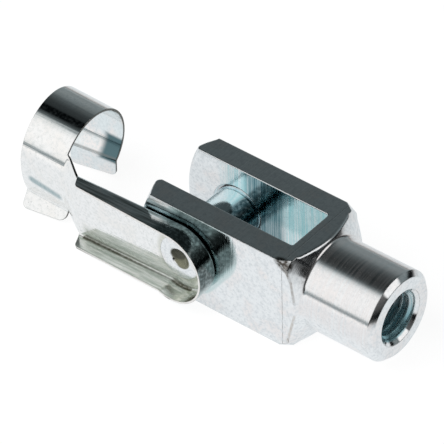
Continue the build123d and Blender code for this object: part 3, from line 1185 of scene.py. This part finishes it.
@dataclass
class SpringClip:
    """Spring clip, one folded sheet: cup, channel, arm, ring and two lips, in millimetres and degrees.

    A pair of sizes holds the one at the ring's near end and the one at its far end. A face whose normal
    has more than web_facing along Y belongs to the flat web, and the folds and flanges have less.
    """

    sheet: float = 0.45
    cut_break: float = 0.06
    cut_angle: float = 50.0
    web: float = -10.475
    tilt: float = 1.4
    cup: float = 15.2
    waist: float = 0.6
    channel_end: float = 24.3
    skew: float = 4.0
    flange: float = 4.4
    top_taper: float = 3.6
    low_taper: float = 2.2
    cup_taper: float = 2.2
    flange_slant: float = 1.4
    flange_corner: float = 0.7
    fold: float = 0.8
    web_facing: float = 0.99
    ring_start: float = 29.65
    ring_width: float = 10.2
    start_skew: float = 2.3
    end_skew: float = 4.2
    lean: float = 1.0
    ring: float = 9.225
    ring_rise: float = 0.6
    wall: float = 19.0
    wall_turn: float = 24.6
    far_turn: Flat = (40.0, 47.0)
    lip_bend: float = 0.7
    lip: Flat = (3.3, 4.0)
    lip_flare: float = 2.0
    tab: Flat = (2.1, 3.5)
    tab_flare: float = 31.0
    lip_corner: float = 1.2
    tab_corner: float = 1.62
    arm_top: float = 54.0
    arm_swell: float = 0.25
    arm_runs: int = 8
    tenon_hole: float = 6.06
    hole_steps: int = 64
    arc_step: float = 4.5
    wall_runs: int = 8
    far_runs: int = 10
    lip_runs: int = 6
    smooth: float = 32.0
    finishes: tuple[ZincFinish, ...] = CLIP_FINISHES

    def build(self) -> Object:
        """Makes the clip.

        Returns:
            The finished piece, in metres.
        """
        sheet = Bench.join([self.ring_band(), self.channel()], "spring_clip_zinc")
        self.add_arm(sheet)
        Bench.dress(sheet, self.finishes)
        Bench.modify(
            sheet, "SOLIDIFY", thickness=self.sheet, offset=0, use_even_offset=True, use_quality_normals=True,
            material_offset=1, material_offset_rim=2)
        Bench.open(sheet)
        Bench.seal()
        Bench.carve(sheet, self.punch())
        Bench.modify(
            sheet, "BEVEL", width=self.cut_break, segments=2, limit_method="ANGLE",
            angle_limit=math.radians(self.cut_angle), use_clamp_overlap=False)
        Bench.open(sheet)
        bpy.ops.transform.rotate(value=-math.radians(self.tilt), orient_axis="Y", center_override=(0, 0, 0))
        Bench.close()
        return Bench.finish(sheet, self.smooth)

    def punch(self) -> Object:
        """Punch for the tenon's hole.

        Returns:
            A closed cylinder about the Y axis.
        """
        radius, reach = self.tenon_hole / 2, 2 * self.sheet
        corners = ((0, -reach), (radius, -reach), (radius, reach), (0, reach))
        line = [(r, self.web + y, 0) for r, y in corners]
        return Bench.turn(Bench.chain("punch", line), Axis.Y, self.hole_steps)

    def section(self, along: float) -> list[Point]:
        """Section of the ring with its lips, at mid sheet.

        Args:
            along: Place along the ring, 0 at its near end and 1 at its far end.

        Returns:
            Points from the thumb tab's free edge over the crown to the far lip's free edge.
        """
        def between(pair: Flat) -> float:
            """Size at this place from the sizes at the ring's two ends."""
            return pair[0] + along * (pair[1] - pair[0])

        quarter = round(90 / self.arc_step)
        near = FoldLine((0, self.ring), 180).bend(self.ring, 90, quarter)
        near.bend(self.wall, self.wall_turn, self.wall_runs)
        near.bend(self.lip_bend, -self.wall_turn - self.tab_flare, self.lip_runs).run(between(self.tab))
        turn = between(self.far_turn)
        far = FoldLine((0, self.ring), 0).bend(self.ring, -90, quarter)
        far.bend(self.ring, -turn, self.far_runs)
        far.bend(self.lip_bend, turn + self.lip_flare, self.lip_runs).run(between(self.lip))
        x = -self.ring_start - along * self.ring_width
        return [(x, p.x, p.y + self.ring_rise) for p in near.points[::-1] + far.points[1:]]

    def ring_band(self) -> Object:
        """Ring as one thin band, cut to its two slanted ends, with rounded lip corners.

        Returns:
            An open surface at mid sheet.
        """
        spare = 0.2
        first = Bench.chain("near_section", self.section(-spare))
        second = Bench.chain("far_section", self.section(1 + spare))
        piece = Bench.join([first, second], "ring_band")
        Bench.open(piece)
        bpy.ops.mesh.select_mode(type=Kind.EDGE.value)
        bpy.ops.mesh.bridge_edge_loops()
        lean = Matrix.Rotation(math.radians(self.lean), 3, "Y")
        ends = ((-self.ring_start, self.start_skew, 1),
                (-self.ring_start - self.ring_width, self.end_skew, -1))
        for x, skew, side in ends:
            bpy.ops.mesh.select_all(action="SELECT")
            place = lean @ Vector((x, 0, 0))
            normal = side * Vector((1, math.tan(math.radians(skew)), 0)).normalized()
            bpy.ops.mesh.bisect(plane_co=place, plane_no=lean @ normal, clear_outer=True)
        Bench.close()
        self.round_lips(piece)
        return piece

    def round_lips(self, piece: Object) -> None:
        """Rounds the four free corners of the ring's two lips.

        Args:
            piece: The ring band.
        """
        middle = -self.ring_start - self.ring_width / 2
        corners = ((-1, 1, self.tab_corner), (-1, -1, self.lip_corner), (1, 1, self.lip_corner),
                   (1, -1, self.lip_corner))
        for side, end, radius in corners:
            places = [v.co for v in piece.data.vertices if v.co.y * side > 0 and (v.co.x - middle) * end > 0]
            lowest = min(places, key=lambda place: place.z).copy()
            Bench.open(piece)
            Bench.pick(Kind.VERT, lambda place, normal: (place - lowest).length < MERGE)
            bpy.ops.mesh.bevel(offset=radius, segments=7, affect="VERTICES")
            Bench.close()

    def channel(self) -> Object:
        """Web with its two flanges, run together round the pin as a cup.

        Returns:
            An open surface at mid sheet.
        """
        top = (self.cup - self.sheet) / 2
        low = top - self.waist
        meet = -math.sqrt(top**2 - low**2)
        start = math.degrees(math.atan2(-low, meet))
        round_end = arc((0, 0), top, start, 90, round((90 - start) / self.arc_step))
        reach = -self.channel_end - 4 * self.fold
        outline = [(reach, -low), *round_end, (reach, top)]
        piece = Bench.chain("channel", [(x, self.web, z) for x, z in outline])
        Bench.open(piece)
        bpy.ops.mesh.edge_face_add()
        Bench.pick(Kind.EDGE, lambda middle, along: middle.x > reach + MERGE)
        rise = self.flange - self.sheet / 2
        bpy.ops.mesh.extrude_region_move(TRANSFORM_OT_translate={"value": (0, -rise, 0)})
        self.taper_rims(self.web - rise)
        Bench.pick(Kind.EDGE, lambda middle, along: middle.x > reach + MERGE
                   and abs(middle.y - self.web) < MERGE)
        bpy.ops.mesh.bevel(offset=self.fold - self.sheet / 2, segments=5, affect="EDGES", clamp_overlap=False)
        bpy.ops.mesh.select_all(action="SELECT")
        bpy.ops.transform.rotate(value=math.radians(self.skew), orient_axis="Y", center_override=(0, 0, 0))
        bpy.ops.mesh.bisect(plane_co=(-self.channel_end, 0, 0), plane_no=(-1, 0, 0), clear_outer=True)
        self.cut_ends(self.web - rise)
        bpy.ops.mesh.select_all(action="SELECT")
        bpy.ops.mesh.remove_doubles(threshold=self.sheet / 10)
        Bench.close()
        return piece

    def taper_rims(self, rim: float) -> None:
        """Tapers the open channel's two flanges and the cup's wall by swinging their rims.

        Args:
            rim: Place of the rims along Y.
        """
        tapers = (
            (self.cup_taper, lambda place: place.x > MERGE),
            (self.top_taper, lambda place: place.x < -MERGE and place.z > 0),
            (self.low_taper, lambda place: place.x < -MERGE and place.z < 0),
        )
        for taper, region in tapers:
            Bench.pick(Kind.VERT, lambda place, normal, region=region: abs(place.y - rim) < MERGE
                       and region(place))
            bpy.ops.transform.rotate(value=math.radians(taper), orient_axis="Z", center_override=(0, rim, 0))

    def cut_ends(self, rim: float) -> None:
        """Cuts the flanges of the open channel to their slanted, rounded free ends.

        Args:
            rim: Place of the rims along Y, beside the pin.
        """
        web_front = self.web - self.sheet / 2
        back = self.flange_slant - self.channel_end
        for taper, side in ((self.top_taper, 1), (self.low_taper, -1)):
            low = rim - back * math.tan(math.radians(taper))
            run = Vector((back + self.channel_end, low - web_front, 0)).normalized()
            Bench.pick(Kind.FACE, lambda place, normal, side=side: place.z * side > 0
                       and place.x < -self.fold and abs(normal.y) < self.web_facing)
            bpy.ops.mesh.bisect(
                plane_co=(-self.channel_end, web_front, 0), plane_no=(run.y, -run.x, 0), clear_outer=True)
            corner = Vector((back, low))
            mesh = bmesh.from_edit_mesh(bpy.context.edit_object.data)
            spots = [v.co for v in mesh.verts if v.co.z * side > 0]
            free = min(spots, key=lambda place: (place.xy - corner).length).copy()
            Bench.pick(Kind.VERT, lambda place, normal: (place - free).length < MERGE)
            bpy.ops.mesh.bevel(offset=self.flange_corner, segments=6, affect="VERTICES")

    def add_arm(self, sheet: Object) -> None:
        """Bridges the web's free end to the near wall of the ring.

        Args:
            sheet: Ring band and channel in one mesh.
        """
        runs = round((90 - self.arm_top) / self.arc_step) + self.wall_runs
        top = self.ring_rise + self.ring * math.cos(math.radians(self.arm_top))
        low = self.section(0)[1 + self.lip_runs][2]
        gap, spare = (self.ring_start + self.channel_end) / 2, 2.0

        def on_web(middle: Vector) -> bool:
            """Tells an edge of the web's free end."""
            return abs(middle.x + self.channel_end) < MERGE and abs(middle.y - self.web) < MERGE

        def on_ring(middle: Vector) -> bool:
            """Tells an edge of the ring's near end, between the arm's upper and lower edge."""
            return -gap > middle.x > -self.ring_start - spare and middle.y < 0 and low < middle.z < top

        Bench.open(sheet)
        Bench.pick(Kind.EDGE, lambda middle, along: on_web(middle) and abs(along.z) > ALONG)
        bpy.ops.mesh.subdivide(number_cuts=runs - 1)
        Bench.pick(Kind.EDGE, lambda middle, along: on_web(middle) or on_ring(middle), on_rim=True)
        bpy.ops.mesh.bridge_edge_loops(
            number_cuts=self.arm_runs, interpolation="SURFACE", smoothness=self.arm_swell)
        Bench.seal()


TABLE_SPAN = 0.3         # distance from the part, in metres, over which the mirrored table changes
TABLE_DEPTH = (          # its colour from in front of the part to behind it
    (0.0, (0.20, 0.24, 0.26)), (0.15, (0.40, 0.44, 0.46)), (0.27, grey(0.88)), (0.34, grey(0.96)),
    (0.43, (0.83, 0.85, 0.87)), (0.52, (0.78, 0.81, 0.83)), (0.58, (0.68, 0.72, 0.74)), (0.73, grey(0.5)),
    (1.0, grey(0.2)))
TABLE_WIDTH = (          # and how that fades to the right
    (0.0, grey(1.0)), (0.22, grey(1.0)), (0.33, grey(0.72)), (0.45, grey(0.40)), (0.66, grey(0.02)))
SKY = (                  # level of the surroundings by angle: from the back, over the part, to the front
    (0, 0.39), (8, 0.24), (24, 0.24), (38, 0.17), (46, 0.10), (60, 0.045), (80, 0.02), (92, 0.03), (97, 0.06),
    (102, 0.20), (108, 0.62), (114, 0.86), (124, 0.96), (152, 0.98), (160, 0.96), (169, 0.95), (173, 0.88),
    (176, 0.55), (180, 0.25))
WHITE = (1.0, 1.0, 1.0, 1.0)
HORIZON = (0.008, 0.009, 0.01, 1.0)


@dataclass
class Studio:
    """White table, soft surroundings, one large lamp and the camera, in millimetres and degrees.

    The window's reach is how far from its middle its light starts, and how far it is full.
    """

    floor: float = -10.0
    azimuth: float = 39.719
    elevation: float = 40.842
    roll: float = -1.471
    distance: float = 788.82
    target: Point = (0.153, 0.620, 0.438)
    lens: float = 353.98
    sensor: float = 36.0
    nearest: float = 10.0
    table_size: float = 6000.0
    table_grey: float = 0.90
    table_faint: float = 0.14
    table_glow: float = 0.92
    lamp_place: Point = (-150.0, -350.0, 600.0)
    lamp_size: float = 500.0
    lamp_power: float = 2.5
    window_way: Point = (0.77, 0.32, 0.55)
    window_reach: Flat = (22.0, 17.0)

    def build(self) -> None:
        """Sets the camera, the table, the lamp and the world up."""
        bpy.context.scene.view_settings.view_transform = "Standard"
        self.add_camera()
        self.add_table()
        self.add_lamp()
        self.add_world()

    def add_camera(self) -> None:
        """Adds the camera at its viewing angle and makes it the scene's."""
        turn = Matrix.Rotation(math.radians(self.azimuth), 4, "Z")
        tilt = Matrix.Rotation(math.radians(90 - self.elevation), 4, "X")
        roll = Matrix.Rotation(math.radians(self.roll), 4, "Z")
        back = Matrix.Translation((0, 0, self.distance * METRES))
        bpy.ops.object.camera_add()
        camera = bpy.context.active_object
        camera.name = "camera"
        camera.matrix_world = Matrix.Translation(Vector(self.target) * METRES) @ turn @ tilt @ roll @ back
        camera.data.lens = self.lens
        camera.data.sensor_width = self.sensor
        camera.data.clip_start = self.nearest * METRES
        bpy.context.scene.camera = camera

    def add_table(self) -> None:
        """Adds the white table top, which fades with distance for what the metal mirrors."""
        bpy.ops.mesh.primitive_plane_add(size=self.table_size * METRES, location=(0, 0, self.floor * METRES))
        table = Bench.named("table")
        material, wiring = blank_material("white_table")
        place = wiring.add("SeparateXYZ", {0: wiring.add("TexCoord").outputs["Object"]})
        fades = []
        for axis, start, stops in ((1, -TABLE_SPAN, TABLE_DEPTH), (0, 0.0, TABLE_WIDTH)):
            away = wiring.add("MapRange", {
                "Value": place.outputs[axis], "From Min": start, "From Max": TABLE_SPAN})
            fades.append(wiring.ramp(away.outputs[0], stops))
        fade = wiring.blend(1.0, *fades, kind="MULTIPLY")
        rays = wiring.add("LightPath").outputs
        mirrored = wiring.math("ADD", rays["Is Glossy Ray"], rays["Is Transmission Ray"], clamp=True)
        seen = wiring.math("ADD", rays["Is Camera Ray"], mirrored, clamp=True)
        plain = wiring.add("BsdfDiffuse", {"Color": (*grey(self.table_grey), 1)})
        faint = wiring.add("BsdfDiffuse", {"Color": (*grey(self.table_faint), 1)})
        glow = wiring.blend(mirrored, WHITE, fade)
        bright = wiring.add("Emission", {"Color": glow, "Strength": self.table_glow})
        pale = wiring.add("AddShader", {0: faint.outputs[0], 1: bright.outputs[0]})
        mixed = wiring.add("MixShader", {0: seen, 1: plain.outputs[0], 2: pale.outputs[0]})
        wiring.add("OutputMaterial", {0: mixed.outputs[0]})
        table.data.materials.append(material)

    def add_lamp(self) -> None:
        """Adds one large soft lamp above and in front, which the metal doesn't mirror."""
        bpy.ops.object.light_add(type="AREA", location=Vector(self.lamp_place) * METRES)
        lamp = bpy.context.active_object
        lamp.name = "soft_lamp"
        lamp.data.shape = "DISK"
        lamp.data.size = self.lamp_size * METRES
        lamp.data.energy = self.lamp_power
        lamp.rotation_euler = (-lamp.location).to_track_quat("-Z", "Y").to_euler()
        lamp.visible_glossy = False

    def add_world(self) -> None:
        """Sets up the surroundings: a bright screen in front, a dark ceiling behind, white for the camera."""
        world = bpy.data.worlds.new("surroundings")
        bpy.context.scene.world = world
        world.use_nodes = True
        world.node_tree.nodes.clear()
        wiring = Wiring(world.node_tree)
        way = wiring.add("TexCoord").outputs["Generated"]
        x, y, z = wiring.add("SeparateXYZ", {0: way}).outputs
        over = wiring.math("DIVIDE", wiring.math("ARCTAN2", z, y), math.pi)
        screen = wiring.ramp(over, [
            (angle / 180, (level * (0.77 + 0.23 * level), level * (0.95 + 0.05 * level), level))
            for angle, level in SKY])
        # a dark screen to the right
        right = wiring.math("MULTIPLY", wiring.span(x, 0.45, 0.7), wiring.span(y, 0.1, -0.1))
        shade = wiring.span(z, 0.0, 0.6, 0.02, 0.12)
        dim = wiring.add("CombineXYZ", {0: shade, 1: shade, 2: shade}).outputs[0]
        sides = wiring.blend(right, screen, dim)
        # a nearly black strip low on that side
        low = wiring.math("MULTIPLY", wiring.span(z, 0.24, 0.12), wiring.span(x, -0.1, 0.25))
        horizon = wiring.blend(low, sides, HORIZON)
        # a round white window
        toward = wiring.vector("DOT_PRODUCT", way, self.window_way)
        window = wiring.span(toward, *(math.cos(math.radians(reach)) for reach in self.window_reach))
        lit = wiring.blend(window, horizon, WHITE)
        colour = wiring.blend(wiring.add("LightPath").outputs["Is Camera Ray"], lit, WHITE)
        background = wiring.add("Background", {"Color": colour, "Strength": 1.0})
        wiring.add("OutputWorld", {0: background.outputs[0]})


def corners_of(piece: Object) -> tuple[list[float], list[float]]:
    """Lowest and highest corner of a piece."""
    columns = list(zip(*(v.co for v in piece.data.vertices)))
    return [min(column) for column in columns], [max(column) for column in columns]


def main() -> None:
    """Builds and dresses the pieces in order, reports each of them and sets the studio up."""
    builders = (
        ("clevis_fork", "fork", Fork()), ("clip_pin", "pin", Pin()), ("spring_clip", "clip", SpringClip()))
    for node, body, builder in builders:
        piece = builder.build()
        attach(piece, body)
        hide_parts(node)
        made, wanted = ([[round(c / METRES, 3) for c in corner] for corner in box]
                        for box in (corners_of(piece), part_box(node)))
        LOG.info("%s: %d faces, box %s against %s", piece.name, len(piece.data.polygons), made, wanted)
    Studio().build()


if __name__ == "__main__":
    main()
